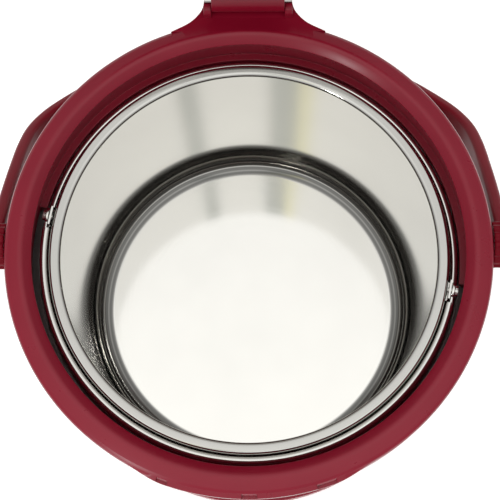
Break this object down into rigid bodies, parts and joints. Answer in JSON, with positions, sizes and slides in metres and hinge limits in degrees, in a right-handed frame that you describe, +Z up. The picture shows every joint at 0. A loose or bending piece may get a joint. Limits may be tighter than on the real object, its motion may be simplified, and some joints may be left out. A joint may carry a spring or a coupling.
{
  "type": "thermal cooker",
  "caption": "Vacuum-insulated thermal cooker: steel vessel with moulded collar, hinged lid, folding carry handle and lift-out pot with wire bail.",
  "frame": {"origin": "centre of the base, on the surface that the cooker stands on", "axes": "+Z up out of the base; +Y towards the lid hinge; +X to the right seen from the front"},
  "size_m": [0.2856, 0.3496, 0.4794],
  "materials": {
    "crimson_plastic": "moulded, satin-gloss crimson",
    "dark_crimson_plastic": "moulded, deep crimson",
    "polished_steel": "polished stainless steel",
    "brushed_shell": "fine circumferential brushing",
    "cast_aluminium": "plain, unpolished",
    "grey_silicone": "soft matte silicone",
    "dark_rubber": "matte moulded rubber",
    "cushion_board": "light insulating board"
  },
  "bodies": {
    "vessel": {"base_cover": "crimson_plastic", "base_cushion": "cushion_board", "base_pad_1": "dark_rubber", "base_pad_2": "dark_rubber", "base_pad_3": "dark_rubber", "base_pad_4": "dark_rubber", "vacuum_seal_cap": "dark_rubber", "getter_pill": "cast_aluminium", "outer_shell": "brushed_shell", "inner_liner": "polished_steel", "collar": "crimson_plastic", "collar_wall": "crimson_plastic", "collar_seal": "grey_silicone", "hinge_pin": "polished_steel", "handle_screw_right": "polished_steel", "handle_screw_left": "polished_steel", "handle_washer_right": "polished_steel", "handle_washer_left": "polished_steel"},
    "lid": {"lid_shell": "crimson_plastic", "lid_liner": "brushed_shell", "lid_gasket": "grey_silicone", "lid_foam": "cushion_board", "lid_screw_1": "polished_steel", "lid_screw_2": "polished_steel", "lid_screw_3": "polished_steel", "lid_screw_4": "polished_steel", "latch_pin": "polished_steel", "latch_spring": "polished_steel"},
    "latch": {"latch_lever": "dark_crimson_plastic"},
    "handle": {"carry_handle": "crimson_plastic", "handle_grip": "dark_rubber", "hub_cap_right": "dark_crimson_plastic", "hub_cap_left": "dark_crimson_plastic"},
    "pot": {"pot_body": "polished_steel", "pot_core_disc": "cast_aluminium", "pot_base_plate": "brushed_shell", "pot_ear_right": "polished_steel", "pot_ear_left": "polished_steel", "ear_rivet_right": "polished_steel", "ear_rivet_left": "polished_steel"},
    "bail": {"pot_bail": "polished_steel"}
  },
  "joints": [
    {"name": "lid_hinge", "type": "hinge", "parent": "vessel", "child": "lid", "pos_m": [0, 0.1355, 0.211], "axis": [1, 0, 0], "range_deg": [0, 105]},
    {"name": "latch_pivot", "type": "hinge", "parent": "lid", "child": "latch", "pos_m": [0, 0.21377, 0.46448], "axis": [-1, 0, 0], "range_deg": [0, 18], "stiffness_Nm_per_rad": 0.05, "springref_deg": -17.19},
    {"name": "handle_swing", "type": "hinge", "parent": "vessel", "child": "handle", "pos_m": [0, 0.0048, 0.185], "axis": [1, 0, 0], "range_deg": [0, 38]},
    {"name": "pot_lift", "type": "slide", "parent": "vessel", "child": "pot", "axis": [0, 0, 1], "range_m": [0, 0.26]},
    {"name": "bail_swing", "type": "hinge", "parent": "pot", "child": "bail", "pos_m": [0, 0, 0.188], "axis": [-0.9816, 0.1908, 0], "range_deg": [0, 180]}
  ]
}
